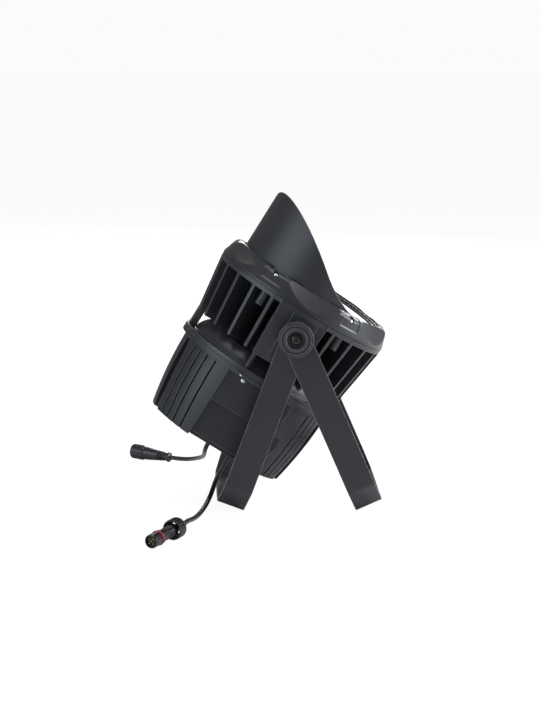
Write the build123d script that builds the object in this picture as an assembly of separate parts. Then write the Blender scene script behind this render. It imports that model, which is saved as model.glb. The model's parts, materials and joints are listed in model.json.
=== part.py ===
"""Outdoor LED par light on a double floor yoke.

The head is modelled in its own frame: z runs along the optical axis, z = 0 is the joint between
the front bezel and the heat sink, x points to the lower side of the tilted head and y lies along
the pivot.  The head is then tilted and hung between the yokes, which stand on the floor z = 0.
The light points up and to +X, the pivot runs along Y, and all lengths are millimetres.
"""
from build123d import *
from math import acos, atan2, cos, degrees, hypot, pi, radians, sin, tan
import os

# ---------------------------------------------------------------- driving dimensions
# stand
yoke_width = 36.0                # width of every yoke arm
yoke_plate = 3.0                 # sheet thickness of both yokes
inner_yoke_length = 233.3        # pivot to the underside of the base plate
yoke_nesting_gap = 1.0           # radial gap between the two base plates
inner_yoke_angle = 20.5          # lean of the inner yoke, towards the back
yoke_corner = 28.0               # leg of the 45 degree corner between arm and base
yoke_bend_radius = 8.0           # outside radius of each bend
yoke_head_gap = 2.7              # between the bezel and the inner yoke
clamp_hole_radius = 6.5          # M12 hook clamp hole in each base plate
screw_hole_radius = 4.5          # two screw holes beside it
screw_hole_spacing = 100.0

# pivot
head_tilt = 32.0                 # optical axis from the vertical, towards the front
pivot_offset = 5.0               # pivot from the head's axis, along the head's x
pivot_depth = 33.2               # pivot behind the bezel joint
bolt_radius = 4.0
bolt_engagement = 24.0           # length of bolt inside the heat sink
spigot_radius = 7.0              # bush that both yokes turn on
bush_flange_radius = 17.0
running_gap = 0.05               # radial clearance of a turning fit
face_gap = 0.1                   # between faces that slide on each other
friction_washer = 1.0
knob_radius = 23.0
knob_thickness = 12.0
knob_teeth = 48
knob_tooth_depth = 1.2
knob_recess_radius = 11.5
knob_recess_depth = 7.0
bolt_head_radius = 7.5
bolt_head_height = 5.0

# bezel, glass and glare shield
bezel_radius = 119.8
bezel_height = 25.0
bezel_face_radius = 112.5        # corner of side and face, before rounding
bezel_edge_round = 9.0
bezel_foot = 0.7                 # shadow line above the heat sink
opening_radius = 100.8
glass_radius = 98.5
glass_thickness = 4.0
glass_top = 18.0
glass_lip = 2.5
glass_lip_width = 5.0
gasket_thickness = 1.5
shield_radius = 100.0
shield_wall = 2.4
shield_height = 112.0            # where the cut would meet the tall side
shield_turn = 22.0               # tall side of the shield, turned from the top of the head
screw_circle = 110.5             # bezel screws
screw_radius = 2.0
screw_seat = 17.8                # floor of each counterbore, above the bezel joint
scallop_radius = 260.0           # of the sphere that each scallop is cut with
scallop_depth = 4.6
tile_width = 29.0                # shallow flat round each bezel screw
tile_depth = 0.8

# heat sink
sink_radius = 119.4
sink_plate = 6.0
sink_depth = 77.5                # the fins reach this far behind the joint
sink_taper = 10.0                # the fins' outer edge comes in by this much
fin_thickness = 4.5
fin_pitch = 15.0
pad_face = 115.5                 # flat pivot pad, distance from the head's axis
pad_half_width = 34.4
boss_face = 118.5                # raised strip on the pad, behind the pivot
boss_half_width = 18.0
chamber_depth = 38.0
led_screw_reach = 16.0           # board screws, out from the axis both ways
chamber_floor_radius = 30.0
chamber_mouth_radius = 92.0
post_x = 26.0
post_y = 103.0
post_radius = 3.25
post_bore_radius = 2.0

# driver cover and rear housing
flange_top = 100.0               # top of the upper flange, behind the joint
flange_radius = 112.5
flange_lip = 5.0
seam_gap = 0.6
dome_radius = 99.0
dome_top_radius = 86.0
dome_top = 82.5
cover_wall = 3.0
skirt_depth = 17.0
rear_depth = 213.0
rear_top_radius = 106.0
rear_middle_radius = 103.4
rear_bottom_radius = 95.0
rear_wall = 8.0
rear_floor = 5.0
panel_wall = 5.0
panel_left = 42.0                # left wall of the side panel
panel_right = 62.0
panel_face = 92.0                # distance of the upper panel from the axis
panel_low_face = 80.0
panel_low_length = 55.0          # lower level of the panel, up from the bottom
panel_foot = 6.0                 # undercut at the panel's lower end
groove_width = 2.4
groove_depth = 4.0
slot_width = 15.0
slot_depth = 5.5
side_screw_x = 19.0
side_screw_drop = 6.9            # below the rear housing's flange
side_screw_recess = 1.4

# outlets and cords
pocket_depth = 16.0              # recess in the floor of the rear housing
cord_radius = 3.0
gland_thread_radius = 6.0
gland_cap_radius = 7.4
input_outlet = (24.0, -24.0)     # head x, y
output_outlet = (0.0, 48.0)
relief_length = 22.0
relief_wall = 1.2
plug_radius = 8.6
nut_radius = 12.8
nut_length = 16.0
socket_radius = 10.0

# ---------------------------------------------------------------- derived places
outer_yoke_length = inner_yoke_length + yoke_nesting_gap + yoke_plate
inner_arm = bezel_radius + yoke_head_gap
inner_arm_out = inner_arm + yoke_plate
outer_arm = inner_arm_out + friction_washer
outer_arm_out = outer_arm + yoke_plate
bush_end = outer_arm_out - 0.3
knob_back = outer_arm_out + 1.5
knob_front = knob_back + knob_thickness
rear_flange_top = flange_top + flange_lip + seam_gap
rear_flange_end = rear_flange_top + flange_lip
glass_bottom = glass_top - glass_thickness
ledge_top = glass_bottom - gasket_thickness
gland_seat = -rear_depth + pocket_depth
relief_top = gland_seat + 2
relief_tip = relief_top - relief_length
panel_step = rear_depth - panel_low_length
side_screw_depth = rear_flange_end + side_screw_drop
chassis_floor = -rear_depth + 32

pivot_height = (
    inner_yoke_length * cos(radians(inner_yoke_angle))
    + yoke_width / 2 * sin(radians(inner_yoke_angle))
)
outer_yoke_angle = degrees(
    atan2(yoke_width / 2, outer_yoke_length)
    + acos(pivot_height / hypot(outer_yoke_length, yoke_width / 2))
)
pivot_ground = Pos(0, 0, pivot_height)
head_place = pivot_ground * Rot(0, head_tilt, 0) * Pos(-pivot_offset, 0, pivot_depth)
sides = (-1, 1)


# ---------------------------------------------------------------- helpers
def turned(points):
    """Solid of revolution about z from an outline of (radius, z) corners."""
    outline = Polyline(*[(r, 0, z) for r, z in points], close=True)
    return revolve(make_face(outline), axis=Axis.Z)


def ring(outer, inner, bottom, top):
    return turned([(inner, bottom), (outer, bottom), (outer, top), (inner, top)])


def rod(radius, bottom, top):
    return Pos(0, 0, bottom) * Cylinder(radius, top - bottom, align=(Align.CENTER, Align.CENTER, Align.MIN))


def block(x0, x1, y0, y1, z0, z1):
    return Pos((x0 + x1) / 2, (y0 + y1) / 2, (z0 + z1) / 2) * Box(x1 - x0, y1 - y0, z1 - z0)


def around(shape, angles):
    """Copies of a shape turned about z."""
    return [Rot(0, 0, angle) * shape for angle in angles]


def y_rod(side, radius, start, end):
    """Cylinder on the pivot's line, from start to end away from the head, on one side."""
    bar = Cylinder(radius, end - start, align=(Align.CENTER, Align.CENTER, Align.MIN))
    return Pos(0, side * start, 0) * Rot(-90 * side, 0, 0) * bar


def hexagon_bar(across, depth):
    return extrude(RegularPolygon(across / 2, 6, major_radius=False), depth)


def fused(pieces):
    result = pieces[0]
    for piece in pieces[1:]:
        result = result + piece
    return result


def group(pieces):
    return Compound(children=[solid for piece in pieces for solid in piece.solids()])


screw_angles = [60 * i for i in range(6)]
fin_angles = [side * (90 - 67.5 + fin_pitch * i) for side in sides for i in range(10)]


# ---------------------------------------------------------------- front of the head
def bezel_profile(inset):
    """Outline of the bezel's section, its outside moved in by inset."""
    side_bottom = Vector(bezel_radius - inset, 0, bezel_foot)
    side_top = Vector(bezel_radius - inset, 0, 3)
    corner = Vector(bezel_face_radius - inset, 0, bezel_height - inset)
    face_end = Vector(opening_radius, 0, bezel_height - inset)
    outside = FilletPolyline(side_top, corner, face_end, radius=bezel_edge_round)
    glass_seat = glass_radius + 0.5
    inside = Polyline(
        face_end,
        (opening_radius, 0, glass_top + glass_lip),
        (glass_radius - glass_lip_width, 0, glass_top + glass_lip),
        (glass_radius - glass_lip_width, 0, glass_top),
        (glass_seat, 0, glass_top),
        (glass_seat, 0, 0),
        (bezel_radius - 3, 0, 0),
        (bezel_radius - 3, 0, bezel_foot),
        side_bottom,
        side_top,
    )
    return make_face(Wire([*outside.edges(), *inside.edges()]))


def make_bezel():
    body = revolve(bezel_profile(0), axis=Axis.Z)
    inner_body = revolve(bezel_profile(tile_depth), axis=Axis.Z)
    skin = body - inner_body
    tile = block(opening_radius + 1, bezel_radius + 5, -tile_width / 2, tile_width / 2, 9, 40)
    tile = fillet(tile.edges().filter_by(Axis.X).group_by(Axis.Z)[0], 4)
    ball_distance = scallop_radius - scallop_depth
    ball = Pos(
        111.5 + ball_distance * sin(radians(45)), 0, 19.0 + ball_distance * cos(radians(45))
    ) * Sphere(scallop_radius)
    bore = Pos(screw_circle, 0, 0) * rod(4.2, screw_seat, 40)
    hole = Pos(screw_circle, 0, 0) * rod(screw_radius + 0.2, -1, screw_seat + 1)
    for angle in screw_angles:
        body = body - Rot(0, 0, angle) * (skin & tile)
    for angle in screw_angles:
        body = body - Rot(0, 0, angle + 30) * ball
        body = body - Rot(0, 0, angle) * bore - Rot(0, 0, angle) * hole
    return body


def button_screw(head_radius, head_height, shank_radius, shank_length, socket):
    """Screw with a domed head standing on z = 0 and a shank below it."""
    head = turned_arc(head_radius, head_height)
    drive = Pos(0, 0, 0.45 * head_height) * hexagon_bar(socket, head_height)
    return head + rod(shank_radius, -shank_length, 0) - drive


def turned_arc(radius, height):
    """Domed head: a disc with a low crown."""
    rim = 0.35 * height
    side = Line((radius, 0, 0), (radius, 0, rim))
    crown = ThreePointArc((radius, 0, rim), (0.6 * radius, 0, 0.86 * height), (0, 0, height))
    base = Polyline((0, 0, height), (0, 0, 0), (radius, 0, 0))
    return revolve(make_face(Wire([*side.edges(), *crown.edges(), *base.edges()])), axis=Axis.Z)


def make_bezel_screws():
    screw = Pos(screw_circle, 0, screw_seat) * button_screw(3.6, 3.2, screw_radius, screw_seat + 9, 2.5)
    return group(around(screw, screw_angles))


def make_shield():
    tube = ring(shield_radius, shield_radius - shield_wall, glass_top + glass_lip, shield_height)
    slope = Polyline((-110, 0, 122), (-104, 0, 112), (-38, 0, 54.5))
    flare = Spline(
        (-38, 0, 54.5), (-12, 0, 36.5), (26, 0, 23.6), (60, 0, bezel_height - 2.2),
        tangents=[(66, 0, -57.5), (1, 0, -0.02)],
    )
    rest = Polyline((60, 0, bezel_height - 2.2), (110, 0, bezel_height - 2.2), (110, 0, 122), (-110, 0, 122))
    waste = extrude(
        make_face(Wire([*slope.edges(), *flare.edges(), *rest.edges()])), 110, dir=(0, 1, 0), both=True
    )
    return Rot(0, 0, shield_turn) * (tube - waste)


def make_glass():
    glass = rod(glass_radius, glass_bottom, glass_top)
    return chamfer(glass.edges().group_by(Axis.Z)[-1], 0.6)


def make_glass_gasket():
    return ring(glass_radius - 0.3, glass_radius - 5, ledge_top, glass_bottom)


def make_reflector():
    wall = 1.2
    foot = 16.0
    return turned([
        (foot, -chamber_depth + 5), (foot + wall, -chamber_depth + 5),
        (chamber_mouth_radius - 3, ledge_top - 3), (chamber_mouth_radius - 0.5, ledge_top - 3),
        (chamber_mouth_radius - 0.5, ledge_top - 3 + wall),
        (chamber_mouth_radius - 3 - wall, ledge_top - 3 + wall),
    ])


def make_led_board():
    board = Pos(0, 0, -chamber_depth) * extrude(RectangleRounded(38, 38, 3), 2)
    for x in (-led_screw_reach, led_screw_reach):
        for y in (-led_screw_reach, led_screw_reach):
            board = board - Pos(x, y, -chamber_depth - 1) * rod(1.6, 0, 4)
    return board


def make_led_emitter():
    base = Pos(0, 0, -chamber_depth + 2) * extrude(RectangleRounded(28, 28, 1), 1.2)
    return base + rod(12, -chamber_depth + 3.2, -chamber_depth + 4.2)


def make_led_board_screws():
    place = Pos(led_screw_reach, led_screw_reach, -chamber_depth + 2)
    screw = place * button_screw(2.7, 1.8, 1.4, 10, 2)
    return group(around(screw, [0, 90, 180, 270]))


# ---------------------------------------------------------------- heat sink
def make_heat_sink():
    bottom = -sink_depth
    core = turned([
        (0, -chamber_depth - 20), (45, -chamber_depth - 20), (chamber_floor_radius + 22, -chamber_depth),
        (chamber_mouth_radius + 8, -sink_plate), (sink_radius, -sink_plate), (sink_radius, 0),
        (glass_radius - 0.2, 0), (glass_radius - 0.2, ledge_top), (0, ledge_top),
    ])
    chamber = turned([
        (0, -chamber_depth), (chamber_floor_radius, -chamber_depth), (chamber_mouth_radius, -2),
        (chamber_mouth_radius, ledge_top + 1), (0, ledge_top + 1),
    ])
    envelope = turned([
        (0, bottom), (sink_radius - sink_taper, bottom), (sink_radius, -sink_plate), (0, -sink_plate),
    ])
    fin = block(34, sink_radius + 2, -fin_thickness / 2, fin_thickness / 2, bottom, -sink_plate + 1)
    fins = fused(around(fin, [90 + angle for angle in fin_angles]))
    body = core + (fins & envelope)
    pad_depth = 30
    pad_outline = [
        (-pad_half_width, 0), (pad_half_width, 0),
        (pad_half_width - 3.4, bottom), (-pad_half_width + 3.4, bottom),
    ]
    pad_face_shape = make_face(Polyline(*[(x, 0, z) for x, z in pad_outline], close=True))
    pad = extrude(pad_face_shape, pad_depth, dir=(0, 1, 0))
    boss = block(
        pivot_offset - boss_half_width, pivot_offset + boss_half_width, 0, boss_face - pad_face,
        bottom + 4.5, -sink_plate,
    )
    for side in sides:
        start = pad_face - pad_depth if side > 0 else -pad_face
        body = body + Pos(0, start, 0) * pad
        shift = pad_face if side > 0 else -boss_face
        body = body + Pos(0, shift, 0) * boss
    leg = block(dome_radius + 0.8, sink_radius - sink_taper, -9, 9, -flange_top, -sink_plate)
    body = body + leg + Rot(0, 0, 180) * leg
    for angle in screw_angles:
        body = body + Rot(0, 0, angle) * Pos(screw_circle - 2, 0, 0) * rod(6, -24, -sink_plate + 1)
    body = body - chamber
    for angle in screw_angles:
        body = body - Rot(0, 0, angle) * Pos(screw_circle, 0, 0) * rod(screw_radius, -22, 1)
    for x in (-led_screw_reach, led_screw_reach):
        for y in (-led_screw_reach, led_screw_reach):
            body = body - Pos(x, y, -chamber_depth) * rod(1.4, -10, 1)
    body = body - Pos(0, 24, -chamber_depth) * rod(4, -30, 1)
    pivot_line = Pos(pivot_offset, 0, -pivot_depth)
    for side in sides:
        body = body - pivot_line * y_rod(side, bolt_radius + 2.5, boss_face - bolt_engagement, boss_face + 1)
        for x in (-post_x, post_x):
            body = body - Pos(x, side * post_y, 0) * rod(post_bore_radius, bottom - 2, bottom + 14)
    return body


def make_pivot_inserts():
    inserts = []
    for side in sides:
        sleeve = y_rod(side, bolt_radius + 2.5, boss_face - bolt_engagement, boss_face)
        bore = y_rod(side, bolt_radius + running_gap, boss_face - bolt_engagement - 1, boss_face + 1)
        inserts.append(Pos(pivot_offset, 0, -pivot_depth) * (sleeve - bore))
    return group(inserts)


def post_places():
    return [(x, side * post_y) for side in sides for x in (-post_x, post_x)]


def make_standoff_posts():
    post = rod(post_radius, -flange_top, -sink_depth)
    bore = rod(post_bore_radius + 0.2, -flange_top - 1, -sink_depth + 1)
    return group([Pos(x, y, 0) * (post - bore) for x, y in post_places()])


def make_standoff_screws():
    flip = Pos(0, 0, -rear_flange_end) * Rot(180, 0, 0)
    screw = flip * button_screw(3.4, 2.4, post_bore_radius, rear_flange_end - sink_depth + 10, 2.5)
    return group([Pos(x, y, 0) * screw for x, y in post_places()])


# ---------------------------------------------------------------- driver cover and rear housing
def flange_holes(body, bottom, top, radius):
    for x, y in post_places():
        body = body - Pos(x, y, 0) * rod(radius, bottom, top)
    return body


def make_driver_cover():
    lip_bottom = -flange_top - flange_lip
    side = Line((flange_radius, 0, lip_bottom), (flange_radius, 0, -flange_top))
    step = Line((flange_radius, 0, -flange_top), (dome_radius, 0, -flange_top))
    shoulder = ThreePointArc(
        (dome_radius, 0, -flange_top), (dome_radius - 4.2, 0, -flange_top + 9), (dome_top_radius, 0, -dome_top)
    )
    inside = Polyline(
        (dome_top_radius, 0, -dome_top), (0, 0, -dome_top), (0, 0, -dome_top - cover_wall),
        (dome_top_radius - 3, 0, -dome_top - cover_wall), (dome_radius - 6, 0, -flange_top),
        (dome_radius - 6, 0, lip_bottom), (flange_radius, 0, lip_bottom),
    )
    pieces = [*side.edges(), *step.edges(), *shoulder.edges(), *inside.edges()]
    body = revolve(make_face(Wire(pieces)), axis=Axis.Z)
    skirt_radius = rear_top_radius - rear_wall - 1.2
    skirt_limit = panel_face - panel_wall - 1.2
    skirt_bottom = lip_bottom - skirt_depth
    barrel = rod(skirt_radius, skirt_bottom, lip_bottom + 1)
    hollow = rod(skirt_radius - 4, skirt_bottom - 1, lip_bottom + 2)
    barrel = barrel & block(-120, 120, -skirt_limit, skirt_limit, -150, 0)
    hollow = hollow & block(-120, 120, -skirt_limit + 4, skirt_limit - 4, -150, 0)
    body = body + (barrel - hollow)
    for x in (-side_screw_x, side_screw_x):
        body = body - Pos(x, 0, -side_screw_depth) * Rot(90, 0, 0) * Cylinder(1.6, 200)
    body = body - Pos(0, 60, 0) * rod(5, -dome_top - 10, -dome_top + 1)
    return flange_holes(body, -rear_flange_end - 1, -flange_top + 1, post_bore_radius + 0.3)


def make_cover_gasket():
    band = ring(flange_radius - 1.0, dome_radius - 1, -rear_flange_top, -flange_top - flange_lip)
    return flange_holes(band, -rear_flange_end, -flange_top, post_bore_radius + 0.5)


def rear_barrel(top, inset):
    """Barrel from z = top down to the floor, its curved side moved in by inset."""
    bottom = -rear_depth
    upper = (rear_top_radius - inset, 0, top)
    lower = (rear_bottom_radius - inset, 0, bottom)
    arc = ThreePointArc(upper, (rear_middle_radius - inset, 0, (top + bottom) / 2), lower)
    rest = Polyline(lower, (0, 0, bottom), (0, 0, top), upper)
    return revolve(make_face(Wire([*arc.edges(), *rest.edges()])), axis=Axis.Z)


def panel_cutters():
    """Material cut away to leave the flat two-level panel on the +Y side."""
    upper = block(-panel_left, panel_right, panel_face, 150, -panel_step - 1, -rear_flange_end - 2.5)
    lower = block(-panel_left, panel_right, panel_low_face, 150, -rear_depth - 1, -panel_step)
    end = block(-panel_left, panel_right, panel_low_face - 12, 150, -rear_depth - 1, -rear_depth + panel_foot)
    return [upper, lower, end]


def make_rear_housing():
    top = -rear_flange_top
    body = rear_barrel(top, 0)
    body = body + rod(flange_radius, -rear_flange_end, top)
    for cutter in panel_cutters():
        body = body - cutter - mirror(cutter, about=Plane.XZ)
    lean = degrees(atan2(rear_top_radius - rear_bottom_radius, rear_depth - rear_flange_top))
    groove_top = -rear_flange_end - 4
    groove_length = rear_depth + groove_top + 12

    def groove(angle, width, depth):
        cut = Box(2 * depth, width, groove_length, align=(Align.CENTER, Align.CENTER, Align.MAX))
        return Rot(0, 0, angle) * Pos(rear_top_radius, 0, groove_top) * Rot(0, lean, 0) * cut

    back_grooves = (35.5, 44.0, 51.5, 59.5)
    front_grooves = (47.0, 53.5, 60.0)
    for side in sides:
        for angle in back_grooves:
            body = body - groove(180 - side * (90 - angle), groove_width, groove_depth)
        for angle in front_grooves:
            body = body - groove(side * (90 - angle), groove_width, groove_depth)
        body = body - groove(180 - side * (90 - 72.5), slot_width, slot_depth)
        body = body - groove(side * (90 - 71.0), slot_width, slot_depth)
    low_y = panel_low_face - panel_wall
    high_y = panel_face - panel_wall
    inside = block(-150, 150, -low_y, low_y, -rear_depth + rear_floor, top + 1)
    inside = inside + block(-150, 150, -high_y, high_y, -panel_step + panel_wall, top + 1)
    body = body - (rear_barrel(top + 1, rear_wall) & inside)
    pocket = block(-20, 44, -46, 68, -rear_depth - 1, gland_seat)
    pocket = fillet(pocket.edges().filter_by(Axis.Z), 8)
    body = body + block(-24, 48, -50, 72, -rear_depth, gland_seat + 4) - pocket
    for x, y in (input_outlet, output_outlet):
        body = body - Pos(x, y, 0) * rod(gland_thread_radius, gland_seat - 1, gland_seat + 5)
    for x in (-side_screw_x, side_screw_x):
        body = body - Pos(x, 0, -side_screw_depth) * Rot(90, 0, 0) * Cylinder(1.8, 250)
        for side in sides:
            start = panel_face - side_screw_recess
            body = body - Pos(x, 0, -side_screw_depth) * y_rod(side, 3.6, start, 100)
    return flange_holes(body, -rear_flange_end - 1, top + 1, post_bore_radius + 0.3)


def make_side_screws():
    screws = []
    for side in sides:
        for x in (-side_screw_x, side_screw_x):
            screw = Rot(-90 * side, 0, 0) * button_screw(3.2, 2.2, 1.6, 14, 2.2)
            screws.append(Pos(x, side * (panel_face - side_screw_recess), -side_screw_depth) * screw)
    return group(screws)


# ---------------------------------------------------------------- electronics
def make_chassis_plate():
    plate = block(-72, 72, -58, 58, chassis_floor, chassis_floor + 2)
    for x in (-62, 62):
        for y in (-48, 48):
            plate = plate + Pos(x, y, 0) * rod(5, -rear_depth + rear_floor, chassis_floor + 1)
    return plate


def make_power_supply():
    case = block(-60, 60, -50, 2, chassis_floor + 2, chassis_floor + 36)
    case = fillet(case.edges().filter_by(Axis.Z), 4)
    for i in range(7):
        case = case - block(-52 + 16 * i, -44 + 16 * i, -52, 4, chassis_floor + 34, chassis_floor + 37)
    return case


def make_control_board():
    board = block(-52, 52, 12, 56, chassis_floor + 10, chassis_floor + 11.6)
    chips = [(-40, 20, 14, 14, 4), (-16, 24, 22, 12, 3), (14, 20, 10, 20, 12), (34, 22, 12, 18, 9)]
    for x, y, width, depth, height in chips:
        board = board + block(x, x + width, y, y + depth, chassis_floor + 11.6, chassis_floor + 11.6 + height)
    for x in (-47, 47):
        for y in (17, 51):
            board = board - Pos(x, y, chassis_floor) * rod(1.6, 9, 13)
    return board


def make_board_standoffs():
    post = Pos(0, 0, chassis_floor) * rod(3, 2, 10)
    screw = Pos(0, 0, chassis_floor + 11.6) * button_screw(2.7, 1.8, 1.5, 4, 1.8)
    bored = post - Pos(0, 0, chassis_floor) * rod(1.5, 5, 11)
    places = [(x, y) for x in (-47, 47) for y in (17, 51)]
    return group([Pos(x, y, 0) * bored for x, y in places]), group([Pos(x, y, 0) * screw for x, y in places])


# ---------------------------------------------------------------- cable outlets
def make_gland(place):
    """Gland body: thread through the pocket's floor, hexagon flange and a domed cap in one piece."""
    thread = rod(gland_thread_radius, gland_seat, gland_seat + 10)
    flange = Pos(0, 0, gland_seat - 4) * hexagon_bar(16, 4)
    cap = turned([
        (0, gland_seat - 10), (5.8, gland_seat - 10), (gland_cap_radius, gland_seat - 8.5),
        (gland_cap_radius, gland_seat - 4), (0, gland_seat - 4),
    ])
    bore = rod(cord_radius + relief_wall, gland_seat - 11, gland_seat + 11)
    return Pos(*place, 0) * (thread + flange + cap - bore)


def make_gland_nut(place):
    inner = gland_seat + 4
    nut = Pos(0, 0, inner) * hexagon_bar(17, 4)
    return Pos(*place, 0) * (nut - rod(gland_thread_radius, inner - 1, inner + 5))


def make_strain_relief(place):
    """Tapered rubber boot that the cord's end sits in, held in the gland."""
    width = cord_radius + relief_wall
    boot = turned([
        (0, relief_tip), (cord_radius + 0.5, relief_tip), (width, gland_seat - 10),
        (width, relief_top), (0, relief_top),
    ])
    return Pos(*place, 0) * boot


def outlet_tip(place):
    """Where a cord leaves its boot, seen from the ground point under the pivot."""
    return (head_place * Pos(place[0], place[1], relief_tip)).position


# ---------------------------------------------------------------- pivot, yokes and knobs
def make_yoke(length, arm_inside):
    """Yoke hanging straight down from the pivot at the origin, its arms at +Y and -Y."""
    out = arm_inside + yoke_plate
    inner_corner = yoke_corner - yoke_plate * tan(radians(22.5))
    half_out = [(out, 30), (out, -length + yoke_corner), (out - yoke_corner, -length)]
    half_in = [
        (arm_inside, 30), (arm_inside, -length + yoke_plate + inner_corner),
        (arm_inside - inner_corner, -length + yoke_plate),
    ]
    outline = half_out + [(-y, z) for y, z in reversed(half_out)]
    outline += [(-y, z) for y, z in half_in] + [(y, z) for y, z in reversed(half_in)]
    section = make_face(Polyline(*[(0, y, z) for y, z in outline], close=True))
    sheet = extrude(section, yoke_width / 2, dir=(1, 0, 0), both=True)
    bends = sheet.edges().filter_by(Axis.X).filter_by(lambda edge: edge.center().Z < 0)
    outside = [edge for edge in bends if is_outer_bend(edge, length, out)]
    inside = [edge for edge in bends if edge not in outside]
    sheet = fillet(outside, yoke_bend_radius)
    inside = [
        edge for edge in sheet.edges().filter_by(Axis.X)
        if any((edge.center() - other.center()).length < 0.01 for other in inside)
    ]
    sheet = fillet(inside, yoke_bend_radius - yoke_plate)
    profile = Rectangle(yoke_width, length + 10, align=(Align.CENTER, Align.MAX)) + Circle(yoke_width / 2)
    window = extrude(Plane.XZ * profile, 200, both=True)
    sheet = sheet & window
    for x in (0, -screw_hole_spacing / 2, screw_hole_spacing / 2):
        radius = clamp_hole_radius if x == 0 else screw_hole_radius
        sheet = sheet - Pos(0, x, 0) * rod(radius, -length - 1, -length + yoke_plate + 1)
    return sheet - Rot(90, 0, 0) * Cylinder(spigot_radius + running_gap, 400)


def is_outer_bend(edge, length, out):
    """True for the bend lines on the outside of the sheet."""
    centre = edge.center()
    upper = abs(abs(centre.Y) - out) < 0.01
    lower = abs(centre.Z + length) < 0.01
    return upper or lower


def make_pivot_bushes():
    bushes = []
    for side in sides:
        flange = y_rod(side, bush_flange_radius, boss_face, inner_arm - face_gap)
        spigot = y_rod(side, spigot_radius, boss_face, bush_end)
        bore = y_rod(side, bolt_radius + running_gap, boss_face - 1, bush_end + 1)
        bushes.append(pivot_ground * (flange + spigot - bore))
    return group(bushes)


def make_friction_washers():
    washers = []
    for side in sides:
        disc = y_rod(side, 16, inner_arm_out + face_gap, outer_arm - face_gap)
        hole = y_rod(side, spigot_radius, inner_arm, outer_arm)
        washers.append(pivot_ground * (disc - hole))
    return group(washers)


def make_knob(side):
    points = []
    for i in range(2 * knob_teeth):
        reach = knob_radius - (knob_tooth_depth if i % 2 else 0)
        angle = pi * i / knob_teeth
        points.append((reach * cos(angle), reach * sin(angle)))
    star = extrude(make_face(Polyline(*points, close=True)), knob_thickness)
    shape = turned([
        (0, 0), (knob_radius - 1.5, 0), (knob_radius + 1, 1.5), (knob_radius + 1, knob_thickness - 2),
        (knob_radius - 2.5, knob_thickness), (0, knob_thickness),
    ])
    body = star & shape
    floor = knob_thickness - knob_recess_depth
    recess = turned([
        (0, floor), (knob_recess_radius, floor), (knob_recess_radius, knob_thickness - 1),
        (knob_recess_radius + 1.5, knob_thickness + 1), (0, knob_thickness + 1),
    ])
    dish = turned([
        (knob_recess_radius + 3, knob_thickness - 0.8), (knob_radius - 4, knob_thickness - 0.8),
        (knob_radius - 3.5, knob_thickness + 1), (knob_recess_radius + 2.5, knob_thickness + 1),
    ])
    body = body - recess - dish - rod(bolt_radius, -1, floor + 1)
    return pivot_ground * Pos(0, side * knob_back, 0) * Rot(-90 * side, 0, 0) * body


def make_knob_washer(side):
    disc = y_rod(side, 12, outer_arm_out + face_gap, knob_back)
    return pivot_ground * (disc - y_rod(side, bolt_radius, outer_arm_out - 1, knob_back + 1))


def make_pivot_bolt(side):
    floor = knob_thickness - knob_recess_depth
    reach = knob_back + floor - (boss_face - bolt_engagement) - 2
    bolt = button_screw(bolt_head_radius, bolt_head_height, bolt_radius, reach, 5)
    return pivot_ground * Pos(0, side * (knob_back + floor), 0) * Rot(-90 * side, 0, 0) * bolt


# ---------------------------------------------------------------- cords and connectors
# Routes seen from the ground point under the pivot, after the outlet and down to the floor.
input_route = [
    (-91.3, -24.6, 42.2), (-100.4, -28.5, 26.0), (-107.0, -41.0, 11.5), (-111.5, -64.0, 4.2),
    (-115.5, -97.0, 3.2), (-120.5, -131.0, 3.2), (-126.0, -164.0, 4.2), (-131.0, -194.0, 9.0),
    (-136.5, -222.0, 14.0), (-140.9, -249.7, 15.5), (-148.4, -263.3, 14.2),
]
output_route = [
    (-112.0, 49.8, 54.6), (-117.6, 65.0, 43.6), (-121.0, 90.0, 34.5), (-122.8, 122.0, 25.0),
    (-124.2, 155.0, 17.6), (-126.8, 188.0, 11.2), (-133.4, 215.0, 6.4), (-144.6, 231.8, 5.9),
    (-157.1, 238.6, 7.0),
]


def bend_radii(points):
    """Largest tangent arcs for a route: 0.45 of the shorter run over the tangent of half the turn."""
    radii = []
    for before, here, after in zip(points, points[1:], points[2:]):
        first = Vector(*here) - Vector(*before)
        second = Vector(*after) - Vector(*here)
        turn = first.get_angle(second)
        radii.append(0.45 * min(first.length, second.length) / tan(radians(turn) / 2))
    return radii


def make_cord(name, start, route):
    points = [tuple(start), *route]
    radii = bend_radii(points)
    path = FilletPolyline(*points, radius=radii)
    path = path if (path @ 0 - Vector(*points[0])).length < 0.01 else path.reversed()
    tube = sweep(Plane(origin=path @ 0, z_dir=path % 0) * Circle(cord_radius), path=path)
    expected = pi * cord_radius**2 * path.length
    print(name, "radii", [round(r) for r in radii], "length", round(path.length, 1),
          "volume ratio", round(tube.volume / expected, 4))
    print("   runs", [round((Vector(*b) - Vector(*a)).length) for a, b in zip(points, points[1:])])
    return tube, path


def lying_frame(path):
    """Frame at a cord's end: z runs on along the cord."""
    return Plane(origin=path @ 1, z_dir=path % 1, x_dir=Vector(0, 0, 1))


def pin_places():
    ring_places = [(4.0 * cos(radians(45 + 90 * i)), 4.0 * sin(radians(45 + 90 * i))) for i in range(4)]
    return [(0, 0), *ring_places]


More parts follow.
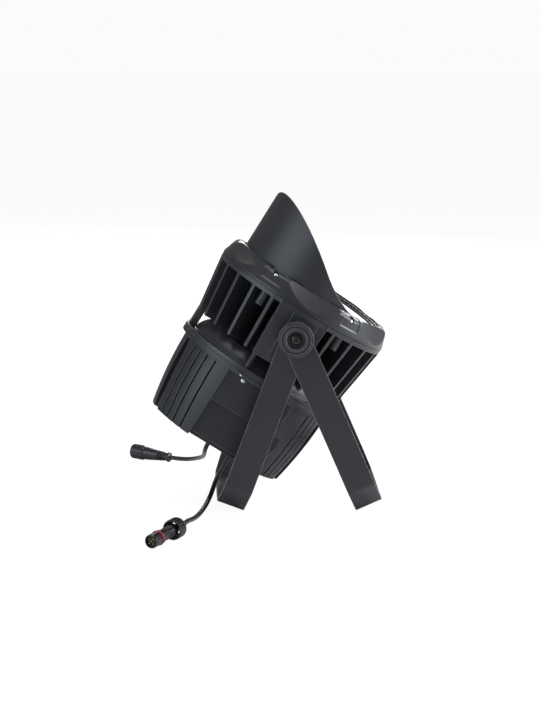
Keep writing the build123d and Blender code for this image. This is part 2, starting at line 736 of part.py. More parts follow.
def make_input_plug(frame):
    """Five pin plug on the cord's end, with the thread that its loose union nut screws off."""
    body = turned([
        (0, 0), (4.4, 0), (5.6, 8), (7.0, 10), (7.0, 42), (plug_radius, 44), (plug_radius, 48),
        (7.6, 49), (7.6, 52.6), (plug_radius, 53.4), (plug_radius, 66.6), (plug_radius - 0.6, 68), (0, 68),
    ])
    thread = fused([ring(7.7, 6.5, 20.0 + 2.4 * i, 21.2 + 2.4 * i) for i in range(6)])
    key = block(-1.4, 1.4, plug_radius - 1, plug_radius + 0.5, 56, 66)
    cup = rod(6.8, 62, 70)
    insert = rod(6.7, 62, 64)
    pins = []
    for x, y in pin_places():
        insert = insert - Pos(x, y, 0) * rod(0.8, 61, 65)
        pins.append(Pos(x, y, 0) * (rod(0.8, 62, 66.4) + Pos(0, 0, 66.4) * Sphere(0.8)))
    seal = Pos(0, 0, 50.8) * Torus(8.0, 1.5) - rod(7.62, 45, 60)
    return [frame.location * piece for piece in (body + thread + key - cup, insert, group(pins), seal)]


def make_union_nut(frame):
    """Loose nut over the plug's tail: open to the front, with a hole for the cord at the back."""
    outside = turned([
        (0, 0), (nut_radius - 1.5, 0), (nut_radius, 1.5), (nut_radius, nut_length - 1),
        (nut_radius - 0.8, nut_length), (0, nut_length),
    ])
    for i in range(18):
        outside = outside - Rot(0, 0, 20 * i) * Pos(nut_radius + 0.5, 0, 3) * rod(1.1, 0, nut_length)
    hollow = turned([
        (0, -1), (7.6, -1), (7.6, 3), (nut_radius - 2.2, 3), (nut_radius - 2.2, nut_length + 1),
        (0, nut_length + 1),
    ])
    return frame.location * (outside - hollow)


def make_output_socket(frame):
    """Five pole socket on the other cord's end, its mouth open to the front."""
    body = turned([
        (0, 0), (4.2, 0), (6.6, 1.5), (6.6, 4.5), (5.2, 5.5), (5.2, 8), (6.0, 9), (8.6, 34),
        (8.8, 40), (socket_radius, 42), (socket_radius, 58), (9.0, 60), (0, 60),
    ])
    for i in range(4):
        body = body - ring(9, 5.0, 9.5 + 2.6 * i, 10.7 + 2.6 * i)
    for i in range(12):
        body = body - Rot(0, 0, 30 * i) * Pos(socket_radius + 0.5, 0, 43) * rod(1.1, 0, 13)
    body = body - rod(7.4, 46, 61)
    insert = rod(7.4, 46, 51)
    for x, y in pin_places():
        insert = insert - Pos(x, y, 0) * rod(0.9, 48, 52)
    return [frame.location * body, frame.location * insert]


# ---------------------------------------------------------------- assembly
nodes = {}


def add_head(name, shape):
    nodes[name] = head_place * shape


add_head("bezel_ring", make_bezel())
add_head("bezel_screws", make_bezel_screws())
add_head("glare_shield", make_shield())
add_head("front_glass", make_glass())
add_head("glass_gasket", make_glass_gasket())
add_head("reflector", make_reflector())
add_head("led_board", make_led_board())
add_head("led_emitter", make_led_emitter())
add_head("led_board_screws", make_led_board_screws())
add_head("heat_sink", make_heat_sink())
add_head("pivot_inserts", make_pivot_inserts())
add_head("standoff_posts", make_standoff_posts())
add_head("standoff_screws", make_standoff_screws())
add_head("driver_cover", make_driver_cover())
add_head("cover_gasket", make_cover_gasket())
add_head("rear_housing", make_rear_housing())
add_head("side_screws", make_side_screws())
add_head("chassis_plate", make_chassis_plate())
add_head("power_supply", make_power_supply())
add_head("control_board", make_control_board())
standoffs, board_screws = make_board_standoffs()
add_head("board_standoffs", standoffs)
add_head("board_screws", board_screws)
for title, place in (("input", input_outlet), ("output", output_outlet)):
    add_head(f"{title}_gland", make_gland(place))
    add_head(f"{title}_gland_nut", make_gland_nut(place))
    add_head(f"{title}_strain_relief", make_strain_relief(place))

nodes["inner_yoke"] = pivot_ground * Rot(0, inner_yoke_angle, 0) * make_yoke(inner_yoke_length, inner_arm)
nodes["outer_yoke"] = pivot_ground * Rot(0, -outer_yoke_angle, 0) * make_yoke(outer_yoke_length, outer_arm)
nodes["pivot_bushes"] = make_pivot_bushes()
nodes["friction_washers"] = make_friction_washers()
for title, side in (("near", -1), ("far", 1)):
    nodes[f"{title}_knob"] = make_knob(side)
    nodes[f"{title}_knob_washer"] = make_knob_washer(side)
    nodes[f"{title}_pivot_bolt"] = make_pivot_bolt(side)

# The origin is under the middle of the light itself, without its cords.
box = Compound(children=[solid for shape in nodes.values() for solid in shape.solids()]).bounding_box()
centring = Pos(-(box.min.X + box.max.X) / 2, -(box.min.Y + box.max.Y) / 2, 0)

input_cord, input_path = make_cord("input_cord", outlet_tip(input_outlet), input_route)
output_cord, output_path = make_cord("output_cord", outlet_tip(output_outlet), output_route)
input_end = lying_frame(input_path)
output_end = lying_frame(output_path)
nodes["input_cord"] = input_cord
nodes["output_cord"] = output_cord
plug_names = ("input_plug", "input_plug_insert", "input_plug_pins", "input_plug_seal")
for name, shape in zip(plug_names, make_input_plug(input_end)):
    nodes[name] = shape
nodes["union_nut"] = make_union_nut(input_end)
for name, shape in zip(("output_socket", "output_socket_insert"), make_output_socket(output_end)):
    nodes[name] = shape

os.makedirs("parts", exist_ok=True)
for name, shape in nodes.items():
    placed = centring * shape
    export_step(placed, f"parts/{name}.step")
    print(f"{name:24s} solids {len(placed.solids())}  lowest {placed.bounding_box().min.Z:8.2f}")

shift = centring.position
print("pivot at", round(shift.X, 3), round(shift.Y, 3), round(pivot_height, 3))
print("outer yoke angle", round(outer_yoke_angle, 3))
print("object box", box.min.X + shift.X, box.max.X + shift.X, box.min.Y, box.max.Y, box.min.Z, box.max.Z)
print("input plug", input_end.origin + shift, input_end.z_dir)
print("output socket", output_end.origin + shift, output_end.z_dir)
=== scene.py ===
import json
from math import atan2, cos, degrees, pi, radians, sin

import bpy
from mathutils import Matrix, Vector

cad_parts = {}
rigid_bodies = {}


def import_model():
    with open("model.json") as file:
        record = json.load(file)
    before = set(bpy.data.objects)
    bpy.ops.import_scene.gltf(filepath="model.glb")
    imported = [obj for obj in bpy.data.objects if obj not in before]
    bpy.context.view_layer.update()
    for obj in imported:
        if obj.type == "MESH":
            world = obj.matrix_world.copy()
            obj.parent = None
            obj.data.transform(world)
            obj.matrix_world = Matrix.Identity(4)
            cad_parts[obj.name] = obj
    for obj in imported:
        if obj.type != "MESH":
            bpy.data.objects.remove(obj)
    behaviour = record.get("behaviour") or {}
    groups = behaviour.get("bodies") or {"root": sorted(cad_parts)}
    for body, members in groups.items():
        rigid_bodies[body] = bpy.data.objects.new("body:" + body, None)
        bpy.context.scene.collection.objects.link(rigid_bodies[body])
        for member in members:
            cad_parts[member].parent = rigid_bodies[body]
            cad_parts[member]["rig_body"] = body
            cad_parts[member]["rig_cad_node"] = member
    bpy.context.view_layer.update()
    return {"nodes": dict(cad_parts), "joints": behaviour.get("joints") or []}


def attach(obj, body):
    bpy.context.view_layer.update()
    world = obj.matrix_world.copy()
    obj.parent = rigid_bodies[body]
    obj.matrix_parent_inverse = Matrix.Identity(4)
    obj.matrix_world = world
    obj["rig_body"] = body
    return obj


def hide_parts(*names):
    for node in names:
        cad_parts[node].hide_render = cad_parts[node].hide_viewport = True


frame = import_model()
nodes = frame["nodes"]

# ---------------------------------------------------------------- studio
# A white table in a light tent: an even white surround, a broad soft light from the left, one from
# behind on the right, and the table top that throws light back up at the black metal.
swing = next(joint for joint in frame["joints"] if joint["name"] == "outer_yoke_swing")
pivot = Vector(swing["pos_m"])
camera_azimuth = radians(-1.8)
camera_height_angle = radians(8.7)
camera_distance = 4.0
camera_shift = -0.0282
camera_drop = 0.0459
camera_back = Vector((
    sin(camera_azimuth) * cos(camera_height_angle),
    -cos(camera_azimuth) * cos(camera_height_angle),
    sin(camera_height_angle),
))
camera_right = Vector((cos(camera_azimuth), sin(camera_azimuth), 0))
camera_up = camera_back.cross(camera_right)

bpy.ops.object.select_all(action="DESELECT")
bpy.ops.object.camera_add()
camera = bpy.context.object
camera.name = "camera"
camera.data.lens = 155
camera.location = (
    pivot + camera_distance * camera_back + camera_shift * camera_right - camera_drop * camera_up
)
camera_axes = Matrix((camera_right, camera_up, camera_back)).transposed()
camera.rotation_mode = "QUATERNION"
camera.rotation_quaternion = camera_axes.to_quaternion()
camera.data.clip_end = 60
bpy.context.scene.camera = camera
bpy.context.scene.view_settings.view_transform = "Standard"


def soft_light(name, place, size, power, colour=(1, 1, 1)):
    """Soft box at a place in metres, pointed at the pivot of the light."""
    bpy.ops.object.light_add(type="AREA", location=place)
    light = bpy.context.object
    light.name = name
    light.data.shape = "RECTANGLE"
    light.data.size, light.data.size_y = size
    light.data.energy = power
    light.data.color = colour
    light.rotation_mode = "QUATERNION"
    light.rotation_quaternion = (pivot - Vector(place)).to_track_quat("-Z", "Y")


soft_light("left_box", place=(-2.1, -1.3, 1.2), size=(2.2, 1.6), power=30, colour=(0.84, 0.91, 1.0))
soft_light("right_box", place=(2.0, -0.2, 0.9), size=(0.5, 1.2), power=40, colour=(0.94, 0.97, 1.0))
soft_light("back_box", place=(1.0, 2.2, 1.3), size=(2.2, 1.2), power=62)
soft_light("top_box", place=(0.0, -0.3, 2.4), size=(1.4, 1.4), power=18, colour=(0.92, 0.96, 1.0))

tent_strength_on_part = 0.19
tent_strength_seen = 0.965
table_glow = 1.15
table_glow_share = 0.8

world = bpy.data.worlds.new("light_tent")
bpy.context.scene.world = world
world.use_nodes = True
tent = world.node_tree.nodes
tent_links = world.node_tree.links
seen = tent.new("ShaderNodeLightPath")
brightness = tent.new("ShaderNodeMix")
brightness.inputs["A"].default_value = tent_strength_on_part
brightness.inputs["B"].default_value = tent_strength_seen
tent_links.new(seen.outputs["Is Camera Ray"], brightness.inputs["Factor"])
tent_links.new(brightness.outputs["Result"], tent["Background"].inputs["Strength"])
tent["Background"].inputs["Color"].default_value = (1, 1, 1, 1)

bpy.ops.object.select_all(action="DESELECT")
bpy.ops.mesh.primitive_circle_add(vertices=96, radius=9, fill_type="NGON")
table = bpy.context.object
table.name = "table"


def new_material(name):
    """Empty material with its Principled shader."""
    material = bpy.data.materials.new(name)
    material.use_nodes = True
    return material, material.node_tree.nodes, material.node_tree.links


paper, paper_nodes, paper_links = new_material("white_table")
sheet = paper_nodes["Principled BSDF"]
sheet.inputs["Base Color"].default_value = (0.85, 0.85, 0.85, 1)
sheet.inputs["Roughness"].default_value = 0.9
sheet.inputs["Specular IOR Level"].default_value = 0.1
glow = paper_nodes.new("ShaderNodeEmission")
glow.inputs["Strength"].default_value = table_glow
looked_at = paper_nodes.new("ShaderNodeLightPath")
share = paper_nodes.new("ShaderNodeMath")
share.operation = "MULTIPLY"
share.inputs[1].default_value = table_glow_share
even = paper_nodes.new("ShaderNodeMixShader")
paper_links.new(looked_at.outputs["Is Camera Ray"], share.inputs[0])
paper_links.new(share.outputs["Value"], even.inputs["Fac"])
paper_links.new(sheet.outputs["BSDF"], even.inputs[1])
paper_links.new(glow.outputs["Emission"], even.inputs[2])
paper_links.new(even.outputs["Shader"], paper_nodes["Material Output"].inputs["Surface"])
table.data.materials.append(paper)

# ---------------------------------------------------------------- cords
# Two black rubber sheathed leads, six millimetres thick.  Each leaves a boot in the floor of the
# rear housing, sags down to the table and ends in a five pole waterproof connector.
cord_radius = 0.003
ground = Vector((pivot.x, pivot.y, 0))


def grain_group():
    """Fine orange peel of sprayed powder or a moulded skin, as a normal and a slow tone mask."""
    group = bpy.data.node_groups.new("surface_grain", "ShaderNodeTree")
    face = group.interface
    for title, value in (("Grain Size", 1200.0), ("Grain Depth", 0.1), ("Patch Size", 18.0)):
        socket = face.new_socket(title, in_out="INPUT", socket_type="NodeSocketFloat")
        socket.default_value = value
    face.new_socket("Normal", in_out="OUTPUT", socket_type="NodeSocketVector")
    face.new_socket("Patches", in_out="OUTPUT", socket_type="NodeSocketFloat")
    inner, links = group.nodes, group.links
    given = inner.new("NodeGroupInput")
    result = inner.new("NodeGroupOutput")
    place = inner.new("ShaderNodeTexCoord")
    peel = inner.new("ShaderNodeTexNoise")
    peel.inputs["Detail"].default_value = 3
    bump = inner.new("ShaderNodeBump")
    bump.inputs["Distance"].default_value = 0.0004
    cloud = inner.new("ShaderNodeTexNoise")
    cloud.inputs["Detail"].default_value = 4
    links.new(place.outputs["Object"], peel.inputs["Vector"])
    links.new(place.outputs["Object"], cloud.inputs["Vector"])
    links.new(given.outputs["Grain Size"], peel.inputs["Scale"])
    links.new(given.outputs["Patch Size"], cloud.inputs["Scale"])
    links.new(given.outputs["Grain Depth"], bump.inputs["Strength"])
    links.new(peel.outputs["Fac"], bump.inputs["Height"])
    links.new(bump.outputs["Normal"], result.inputs["Normal"])
    links.new(cloud.outputs["Fac"], result.inputs["Patches"])
    return group


surface_grain = grain_group()


def edge_highlight_group():
    """Thin, uneven painted highlight on the eased edges of a piece, which its mesh marks in a face
    attribute.
    """
    group = bpy.data.node_groups.new("painted_edge_highlight", "ShaderNodeTree")
    face = group.interface
    face.new_socket("Coat", in_out="INPUT", socket_type="NodeSocketColor")
    face.new_socket("Highlight Tone", in_out="INPUT", socket_type="NodeSocketColor")
    face.new_socket("Colour", in_out="OUTPUT", socket_type="NodeSocketColor")
    inner, links = group.nodes, group.links
    given = inner.new("NodeGroupInput")
    result = inner.new("NodeGroupOutput")
    marked = inner.new("ShaderNodeAttribute")
    marked.attribute_name = "painted_highlight_edges"
    place = inner.new("ShaderNodeTexCoord")
    uneven = inner.new("ShaderNodeTexNoise")
    uneven.inputs["Scale"].default_value = 60
    uneven.inputs["Detail"].default_value = 4
    spread = inner.new("ShaderNodeMapRange")
    spread.inputs["From Min"].default_value = 0.3
    spread.inputs["From Max"].default_value = 0.7
    spread.inputs["To Min"].default_value = 0.45
    amount = inner.new("ShaderNodeMath")
    amount.operation = "MULTIPLY"
    highlight_mix = inner.new("ShaderNodeMix")
    highlight_mix.data_type = "RGBA"
    links.new(place.outputs["Object"], uneven.inputs["Vector"])
    links.new(uneven.outputs["Fac"], spread.inputs["Value"])
    links.new(spread.outputs["Result"], amount.inputs[0])
    links.new(marked.outputs["Fac"], amount.inputs[1])
    links.new(amount.outputs["Value"], highlight_mix.inputs["Factor"])
    links.new(given.outputs["Coat"], highlight_mix.inputs["A"])
    links.new(given.outputs["Highlight Tone"], highlight_mix.inputs["B"])
    links.new(highlight_mix.outputs["Result"], result.inputs["Colour"])
    return group


painted_edge_highlight = edge_highlight_group()


def grained(name, dark, light, roughness, grain_size, grain_depth, metal=0.0, edge_highlight_tone=None):
    """Material between two close tones, with slow changes of gloss and a fine grained skin, and if
    asked a lighter tone painted on its marked edges as their highlight.
    """
    material, parts, links = new_material(name)
    shader = parts["Principled BSDF"]
    shader.inputs["Metallic"].default_value = metal
    grain = parts.new("ShaderNodeGroup")
    grain.node_tree = surface_grain
    grain.inputs["Grain Size"].default_value = grain_size
    grain.inputs["Grain Depth"].default_value = grain_depth
    tone = parts.new("ShaderNodeMix")
    tone.data_type = "RGBA"
    tone.inputs["A"].default_value = (*dark, 1)
    tone.inputs["B"].default_value = (*light, 1)
    gloss = parts.new("ShaderNodeMapRange")
    gloss.inputs["To Min"].default_value = roughness - 0.05
    gloss.inputs["To Max"].default_value = roughness + 0.05
    links.new(grain.outputs["Patches"], tone.inputs["Factor"])
    links.new(grain.outputs["Patches"], gloss.inputs["Value"])
    links.new(grain.outputs["Normal"], shader.inputs["Normal"])
    links.new(gloss.outputs["Result"], shader.inputs["Roughness"])
    colour = tone.outputs["Result"]
    # Painted highlight: a lighter tone on the marked edges stands in for the light that they catch.
    if edge_highlight_tone:
        highlight_mix = parts.new("ShaderNodeGroup")
        highlight_mix.node_tree = painted_edge_highlight
        highlight_mix.inputs["Highlight Tone"].default_value = (*edge_highlight_tone, 1)
        links.new(colour, highlight_mix.inputs["Coat"])
        colour = highlight_mix.outputs["Colour"]
    links.new(colour, shader.inputs["Base Color"])
    return material


cord_rubber = grained(
    "cord_rubber", dark=(0.014, 0.014, 0.016), light=(0.022, 0.022, 0.025),
    roughness=0.42, grain_size=900, grain_depth=0.08,
)


def lay_cord(name, route):
    """Curve of a lead along its given points, counted from the ground under the pivot."""
    curve = bpy.data.curves.new(name, "CURVE")
    curve.dimensions = "3D"
    curve.bevel_depth = cord_radius
    curve.bevel_resolution = 5
    curve.resolution_u = 10
    curve.use_fill_caps = True
    spline = curve.splines.new("NURBS")
    spline.points.add(len(route) - 1)
    for point, place in zip(spline.points, route):
        point.co = (*(ground + Vector(place)), 1)
    spline.order_u = 3
    spline.use_endpoint_u = True
    lead = bpy.data.objects.new(name, curve)
    bpy.context.scene.collection.objects.link(lead)
    curve.materials.append(cord_rubber)
    return lead


input_route = [
    (-0.08126, -0.0240, 0.05893), (-0.0913, -0.0246, 0.0422), (-0.0992, -0.0285, 0.0264),
    (-0.1048, -0.0410, 0.0120), (-0.1104, -0.0640, 0.0046), (-0.1152, -0.0970, 0.0036),
    (-0.1204, -0.1310, 0.0040), (-0.1260, -0.1640, 0.0056), (-0.1310, -0.1940, 0.0090),
    (-0.1365, -0.2220, 0.0132), (-0.1409, -0.2497, 0.0150), (-0.1484, -0.2633, 0.0142),
]
output_route = [
    (-0.10161, 0.0480, 0.07165), (-0.1100, 0.0498, 0.0580), (-0.1125, 0.0650, 0.0475),
    (-0.1125, 0.0900, 0.0395), (-0.1130, 0.1220, 0.0310), (-0.1148, 0.1550, 0.0232),
    (-0.1205, 0.1880, 0.0154), (-0.1308, 0.2150, 0.0090), (-0.1446, 0.2318, 0.0062),
    (-0.1571, 0.2386, 0.0070),
]
input_lead = lay_cord("input_lead", input_route)
output_lead = lay_cord("output_lead", output_route)
for lead, node in ((input_lead, "input_cord"), (output_lead, "output_cord")):
    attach(lead, "head")
    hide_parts(node)


# ---------------------------------------------------------------- connectors
# Glossy black moulded nylon: a plug with gold pins, a crimson seal ring and a loose union nut on the
# first lead, and a socket on the second.
crease = radians(30)
same_point = 0.000005
same_plane = radians(0.5)


def mark_edges(piece):
    """Turns the second material of the eased faces into the mask of the painted edge highlight, and
    drops it.
    """
    faces = piece.data.polygons
    # Mask of the eased faces, where the materials paint a lighter tone as the edges' highlight.
    mark = piece.data.attributes.new("painted_highlight_edges", "FLOAT", "FACE")
    mark.data.foreach_set("value", [float(face.material_index == 1) for face in faces])
    faces.foreach_set("material_index", [0] * len(faces))
    piece.data.materials.pop(index=1)


def finish_shading(piece):
    """Smooth shading that keeps its sharp edges and leaves the large flat faces flat."""
    bpy.ops.object.shade_smooth_by_angle(angle=crease)
    flat = piece.modifiers.new("flat_faces", "WEIGHTED_NORMAL")
    flat.weight = 80
    flat.keep_sharp = True
    bpy.ops.object.modifier_apply(modifier=flat.name)


def dressed(node, name, material, edge=0.0):
    """Copy of a piece of the frame: merged, its sharp edges eased and marked for a painted highlight,
    its shading smoothed.
    """
    bpy.ops.object.select_all(action="DESELECT")
    source = nodes[node]
    body = source["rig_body"]
    source.select_set(True)
    bpy.context.view_layer.objects.active = source
    bpy.ops.object.duplicate()
    piece = bpy.context.object
    piece.name = name
    piece.data.name = name
    del piece["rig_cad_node"]
    del piece["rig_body"]
    bpy.ops.object.parent_clear(type="CLEAR_KEEP_TRANSFORM")
    bpy.ops.object.mode_set(mode="EDIT")
    bpy.ops.mesh.select_all(action="SELECT")
    bpy.ops.mesh.remove_doubles(threshold=same_point)
    bpy.ops.mesh.dissolve_limited(angle_limit=same_plane)
    bpy.ops.object.mode_set(mode="OBJECT")
    piece.data.materials.clear()
    piece.data.materials.append(material)
    if edge:
        piece.data.materials.append(material)
        eased = piece.modifiers.new("eased_edges", "BEVEL")
        eased.width = edge
        eased.segments = 2
        eased.limit_method = "ANGLE"
        eased.angle_limit = crease
        eased.use_clamp_overlap = False
        eased.material = 1
        bpy.ops.object.modifier_apply(modifier=eased.name)
        mark_edges(piece)
    finish_shading(piece)
    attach(piece, body)
    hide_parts(node)
    return piece


connector_nylon = grained(
    "connector_nylon", dark=(0.012, 0.012, 0.013), light=(0.02, 0.02, 0.022),
    roughness=0.24, grain_size=1600, grain_depth=0.05,
)
insert_nylon = grained(
    "insert_nylon", dark=(0.02, 0.02, 0.02), light=(0.03, 0.03, 0.03),
    roughness=0.5, grain_size=1600, grain_depth=0.08,
)
seal_rubber = grained(
    "seal_rubber", dark=(0.33, 0.012, 0.03), light=(0.48, 0.02, 0.05),
    roughness=0.35, grain_size=1200, grain_depth=0.06,
)
pin_gold = grained(
    "pin_gold", dark=(0.75, 0.5, 0.18), light=(0.9, 0.66, 0.3),
    roughness=0.22, grain_size=1500, grain_depth=0.05, metal=1.0,
)

plug = dressed("input_plug", "plug_body", connector_nylon, edge=0.0004)
plug_insert = dressed("input_plug_insert", "plug_insert", insert_nylon)
plug_pins = dressed("input_plug_pins", "plug_pins", pin_gold)
plug_seal = dressed("input_plug_seal", "plug_seal", seal_rubber)
nut = dressed("union_nut", "nut_body", connector_nylon, edge=0.0004)
socket = dressed("output_socket", "socket_body", connector_nylon, edge=0.0004)
socket_insert = dressed("output_socket_insert", "socket_insert", insert_nylon)

# ---------------------------------------------------------------- bezel, glass and shield
# The cast front ring clamps a frosted glass on its gasket, with six scallops in its rounded corner
# and a screw in a flat between each two of them.  A half cut tube of rolled sheet stands in its
# opening and shades people's eyes.
head_tilt = radians(32)
head_place = (
    Matrix.Translation(pivot)
    @ Matrix.Rotation(head_tilt, 4, "Y")
    @ Matrix.Translation((-0.005, 0, 0.0332))
)
bezel_radius = 0.1198
bezel_foot = 0.0007
bezel_step = 0.003
bezel_top = 0.025
opening_radius = 0.1008
ledge_radius = 0.0935
ledge_top = 0.0205
ledge_bottom = 0.018
glass_seat_radius = 0.099
rim_radius = 0.1168
corner_round = 0.009
corner_centre = (0.10601, 0.016)
side_lean = radians(18.36)
side_steps = 14
turn_steps = 720
scallops = 6
scallop_radius = 0.260
scallop_reach = 0.2554
scallop_bottom = (0.1115, 0.019)
tile_depth = 0.0008
tile_half_angle = 7.3
tile_lowest = 0.009
tile_inner_radius = 0.1015
screw_circle = 0.1105
screw_seat = 0.0178
counterbore_radius = 0.0042
counterbore_depth = 0.02

cast_coat = grained(
    "bezel_coat", dark=(0.020, 0.021, 0.023), light=(0.030, 0.031, 0.034),
    roughness=0.36, grain_size=1100, grain_depth=0.1,
)
shield_coat = grained(
    "shield_coat", dark=(0.018, 0.019, 0.022), light=(0.026, 0.027, 0.031),
    roughness=0.42, grain_size=1300, grain_depth=0.12, edge_highlight_tone=(0.22, 0.225, 0.24),
)
stainless = grained(
    "stainless", dark=(0.60, 0.60, 0.59), light=(0.80, 0.80, 0.79),
    roughness=0.24, grain_size=900, grain_depth=0.06, metal=1.0,
)


def on_corner(angle):
    """Point of the rounded corner as (radius, height), at an angle above level."""
    return (
        corner_centre[0] + corner_round * cos(angle),
        corner_centre[1] + corner_round * sin(angle),
    )


def bezel_outline():
    """Section of the ring as (radius, height) points, from the foot round the outside and back."""
    side_run = [(bezel_radius, bezel_foot), (bezel_radius, bezel_step)]
    top_of_side = on_corner(side_lean)
    for i in range(1, side_steps):
        share = i / side_steps
        side_run.append((
            bezel_radius + share * (top_of_side[0] - bezel_radius),
            bezel_step + share * (top_of_side[1] - bezel_step),
        ))
    for i in range(side_steps + 1):
        side_run.append(on_corner(side_lean + (pi / 2 - side_lean) * i / side_steps))
    face_run = [(radius, bezel_top) for radius in (0.105, 0.1039, 0.1028, 0.1018, 0.1012)]
    inside = [
        (opening_radius, bezel_top - 0.0004), (opening_radius, ledge_top),
        (ledge_radius, ledge_top), (ledge_radius, ledge_bottom),
        (glass_seat_radius, ledge_bottom), (glass_seat_radius, 0.0),
        (rim_radius, 0.0), (rim_radius, bezel_foot),
    ]
    return side_run + face_run + inside


def dished(place):
    """Point of the casting after the scallops: anything inside a ball moves out to its surface."""
    for i in range(scallops):
        ball = Matrix.Rotation(radians(30 + 60 * i), 3, "Z") @ Vector((
            scallop_bottom[0] + scallop_reach * sin(pi / 4),
            0,
            scallop_bottom[1] + scallop_reach * cos(pi / 4),
        ))
        away = place - ball
        if away.length < scallop_radius:
            place = ball + away * (scallop_radius / away.length)
    return place


def sunk_tile(place):
    """Point of the casting after the flats round the screws, on the outside of the ring only."""
    radius = Vector((place.x, place.y)).length
    turn = degrees(atan2(place.y, place.x)) % 60
    beside_screw = min(turn, 60 - turn) < tile_half_angle
    if not beside_screw or place.z < tile_lowest or radius < tile_inner_radius:
        return place
    out = Vector((max(radius - corner_centre[0], 0), max(place.z - corner_centre[1], 0)))
    if place.z < on_corner(side_lean)[1]:
        out = Vector((cos(side_lean), sin(side_lean)))
    out = out.normalized()
    along = Vector((place.x, place.y)) / radius
    return place - tile_depth * Vector((along.x * out.x, along.y * out.x, out.y))


bpy.ops.object.select_all(action="DESELECT")
bpy.ops.mesh.primitive_plane_add(size=0.001, location=(0, 0, 0))
bezel = bpy.context.object
bezel.name = "bezel_casting"
bezel.data.name = "bezel_casting"
bpy.ops.object.mode_set(mode="EDIT")
bpy.ops.mesh.select_all(action="SELECT")
bpy.ops.mesh.merge(type="CENTER")
outline = bezel_outline()
bpy.ops.transform.translate(value=(outline[0][0], 0, outline[0][1]))
for before, after in zip(outline, outline[1:]):
    bpy.ops.mesh.extrude_vertices_move(
        TRANSFORM_OT_translate={"value": (after[0] - before[0], 0, after[1] - before[1])}
    )
bpy.ops.mesh.select_all(action="SELECT")
bpy.ops.mesh.spin(steps=turn_steps, angle=2 * pi, center=(0, 0, 0), axis=(0, 0, 1))
bpy.ops.mesh.select_all(action="SELECT")
bpy.ops.mesh.remove_doubles(threshold=0.00005)
bpy.ops.mesh.select_all(action="DESELECT")
bpy.ops.mesh.select_non_manifold()
bpy.ops.mesh.bridge_edge_loops()
bpy.ops.mesh.select_all(action="SELECT")
bpy.ops.mesh.normals_make_consistent(inside=False)
bpy.ops.object.mode_set(mode="OBJECT")
for point in bezel.data.vertices:
    if point.co.z > 0.0012:
        point.co = sunk_tile(dished(point.co.copy()))

cutters = []
for i in range(scallops):
    turn = radians(60 * i)
    middle = screw_seat + counterbore_depth / 2
    bpy.ops.object.select_all(action="DESELECT")
    bpy.ops.mesh.primitive_cylinder_add(
        vertices=48, radius=counterbore_radius, depth=counterbore_depth,
        location=(screw_circle * cos(turn), screw_circle * sin(turn), middle),
    )
    cutters.append(bpy.context.object)
for cutter in cutters:
    cutter.select_set(True)
bpy.ops.object.join()
drill = bpy.context.object
bpy.ops.object.select_all(action="DESELECT")
bezel.select_set(True)
bpy.context.view_layer.objects.active = bezel
counterbores = bezel.modifiers.new("counterbores", "BOOLEAN")
counterbores.operation = "DIFFERENCE"
counterbores.solver = "EXACT"
counterbores.object = drill
bpy.ops.object.modifier_apply(modifier=counterbores.name)
bpy.data.objects.remove(drill)
bezel.matrix_world = head_place
bpy.ops.object.transform_apply(location=True, rotation=True, scale=True)
bezel.data.materials.clear()
bezel.data.materials.append(cast_coat)
bpy.ops.object.shade_smooth_by_angle(angle=radians(38))
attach(bezel, "head")
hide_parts("bezel_ring")

dressed("glare_shield", "shield_tube", shield_coat, edge=0.0007)
dressed("bezel_screws", "bezel_screw_heads", stainless, edge=0.0002)


def frosted_glass():
    """Etched glass: pale, milky and only faintly see-through."""
    material, parts, links = new_material("frosted_glass")
    shader = parts["Principled BSDF"]
    shader.inputs["Base Color"].default_value = (0.86, 0.88, 0.90, 1)
    shader.inputs["Transmission Weight"].default_value = 0.25
    shader.inputs["IOR"].default_value = 1.5
    grain = parts.new("ShaderNodeGroup")
    grain.node_tree = surface_grain
    grain.inputs["Grain Size"].default_value = 2600
    grain.inputs["Grain Depth"].default_value = 0.2
    gloss = parts.new("ShaderNodeMapRange")
    gloss.inputs["To Min"].default_value = 0.38
    gloss.inputs["To Max"].default_value = 0.5
    links.new(grain.outputs["Patches"], gloss.inputs["Value"])
    links.new(gloss.outputs["Result"], shader.inputs["Roughness"])
    links.new(grain.outputs["Normal"], shader.inputs["Normal"])
    return material


dressed("front_glass", "glass_disc", frosted_glass())
gasket_rubber = grained(
    "gasket_rubber", dark=(0.03, 0.03, 0.032), light=(0.05, 0.05, 0.052),
    roughness=0.75, grain_size=1500, grain_depth=0.15,
)
dressed("glass_gasket", "glass_seal", gasket_rubber)

# ---------------------------------------------------------------- heat sink and light source
# One coated aluminium casting with upright fins and a flat pivot pad on each side.  Behind the glass
# it holds the board with the white LED, and a polished cone that throws its light forwards.
fin_coat = grained(
    "heat_sink_coat", dark=(0.020, 0.021, 0.024), light=(0.030, 0.032, 0.036),
    roughness=0.40, grain_size=1000, grain_depth=0.12, edge_highlight_tone=(0.085, 0.088, 0.095),
)
polished_cone = grained(
    "polished_cone", dark=(0.78, 0.78, 0.8), light=(0.9, 0.9, 0.91),
    roughness=0.16, grain_size=800, grain_depth=0.04, metal=1.0,
)
board_white = grained(
    "board_white", dark=(0.76, 0.77, 0.77), light=(0.86, 0.87, 0.87),
    roughness=0.4, grain_size=1500, grain_depth=0.05,
)
phosphor = grained(
    "phosphor", dark=(0.86, 0.72, 0.24), light=(0.95, 0.84, 0.36),
    roughness=0.55, grain_size=1500, grain_depth=0.1,
)
dressed("heat_sink", "heat_sink_casting", fin_coat, edge=0.0006)
dressed("pivot_inserts", "insert_sleeves", stainless)
dressed("reflector", "reflector_cone", polished_cone)
dressed("led_board", "emitter_board", board_white)
dressed("led_emitter", "emitter_face", phosphor)
dressed("led_board_screws", "emitter_screws", stainless)

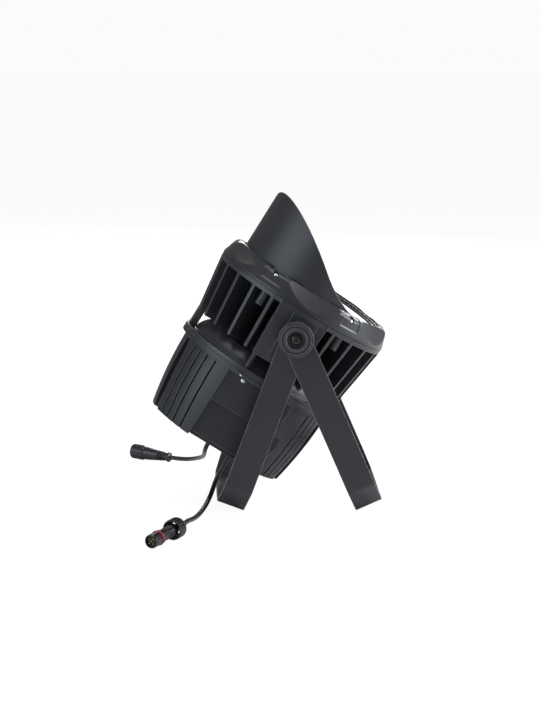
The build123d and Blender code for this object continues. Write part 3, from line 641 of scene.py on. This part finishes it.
# ---------------------------------------------------------------- driver cover and rear housing
# A domed lid over the electronics, its flange screwed to the ribbed barrel behind it, and four
# posts that hold both a finger's width off the fins so that air passes between.
lid_coat = grained(
    "lid_coat", dark=(0.018, 0.019, 0.021), light=(0.027, 0.028, 0.031),
    roughness=0.38, grain_size=1300, grain_depth=0.1, edge_highlight_tone=(0.10, 0.104, 0.112),
)
barrel_coat = grained(
    "barrel_coat", dark=(0.014, 0.015, 0.018), light=(0.021, 0.022, 0.026),
    roughness=0.44, grain_size=1100, grain_depth=0.12, edge_highlight_tone=(0.10, 0.104, 0.112),
)
dressed("driver_cover", "domed_lid", lid_coat, edge=0.0006)
dressed("cover_gasket", "lid_seal", gasket_rubber)
dressed("standoff_posts", "posts", barrel_coat, edge=0.0002)
dressed("standoff_screws", "post_screws", stainless)
dressed("rear_housing", "barrel_casting", barrel_coat, edge=0.0006)
dressed("side_screws", "panel_screws", stainless, edge=0.0002)

# ---------------------------------------------------------------- electronics
# Sealed inside the barrel: a bare aluminium chassis plate on the barrel's floor carries the power
# supply in its case and the control board on nylon posts.
bare_aluminium = grained(
    "bare_aluminium", dark=(0.62, 0.62, 0.64), light=(0.76, 0.76, 0.78),
    roughness=0.32, grain_size=1200, grain_depth=0.06, metal=1.0,
)
board_green = grained(
    "board_green", dark=(0.03, 0.15, 0.06), light=(0.05, 0.21, 0.09),
    roughness=0.35, grain_size=1200, grain_depth=0.08,
)
nylon = grained(
    "black_nylon", dark=(0.02, 0.02, 0.021), light=(0.032, 0.032, 0.034),
    roughness=0.5, grain_size=1300, grain_depth=0.1,
)
dressed("chassis_plate", "chassis", bare_aluminium)
dressed("power_supply", "supply_case", bare_aluminium, edge=0.0005)
dressed("control_board", "driver_board", board_green)
dressed("board_standoffs", "board_posts", nylon)
dressed("board_screws", "board_fixings", stainless)

# ---------------------------------------------------------------- cable outlets
# Nylon glands in a recess of the barrel's floor, each held by a nut and with a tapered rubber boot
# round its lead.
boot_rubber = grained(
    "boot_rubber", dark=(0.018, 0.018, 0.019), light=(0.026, 0.026, 0.028),
    roughness=0.6, grain_size=1400, grain_depth=0.12,
)
for side in ("input", "output"):
    dressed(f"{side}_gland", f"{side}_gland_body", nylon, edge=0.0003)
    dressed(f"{side}_gland_nut", f"{side}_locknut", nylon, edge=0.0003)
    dressed(f"{side}_strain_relief", f"{side}_boot", boot_rubber, edge=0.0003)

# ---------------------------------------------------------------- yokes, pivot and knobs
# Two bent steel straps hang on one bush each side, one nested in the other, and open like a pair of
# scissors into feet.  A serrated knob on an M8 bolt clamps each side.
yoke_coat = grained(
    "yoke_coat", dark=(0.016, 0.017, 0.020), light=(0.024, 0.025, 0.029),
    roughness=0.38, grain_size=1200, grain_depth=0.1, edge_highlight_tone=(0.24, 0.25, 0.27),
)
knob_nylon = grained(
    "knob_nylon", dark=(0.013, 0.013, 0.014), light=(0.02, 0.02, 0.022),
    roughness=0.38, grain_size=1200, grain_depth=0.1, edge_highlight_tone=(0.11, 0.112, 0.12),
)
black_steel = grained(
    "black_steel", dark=(0.03, 0.03, 0.032), light=(0.05, 0.05, 0.052),
    roughness=0.35, grain_size=900, grain_depth=0.08, metal=0.6,
)
dressed("inner_yoke", "inner_strap", yoke_coat, edge=0.0005)
dressed("outer_yoke", "outer_strap", yoke_coat, edge=0.0005)
dressed("pivot_bushes", "bushes", black_steel, edge=0.0004)
dressed("friction_washers", "washers", nylon)
for side in ("near", "far"):
    dressed(f"{side}_knob", f"{side}_hand_knob", knob_nylon, edge=0.0005)
    dressed(f"{side}_knob_washer", f"{side}_washer", black_steel)
    dressed(f"{side}_pivot_bolt", f"{side}_bolt", black_steel, edge=0.0003)
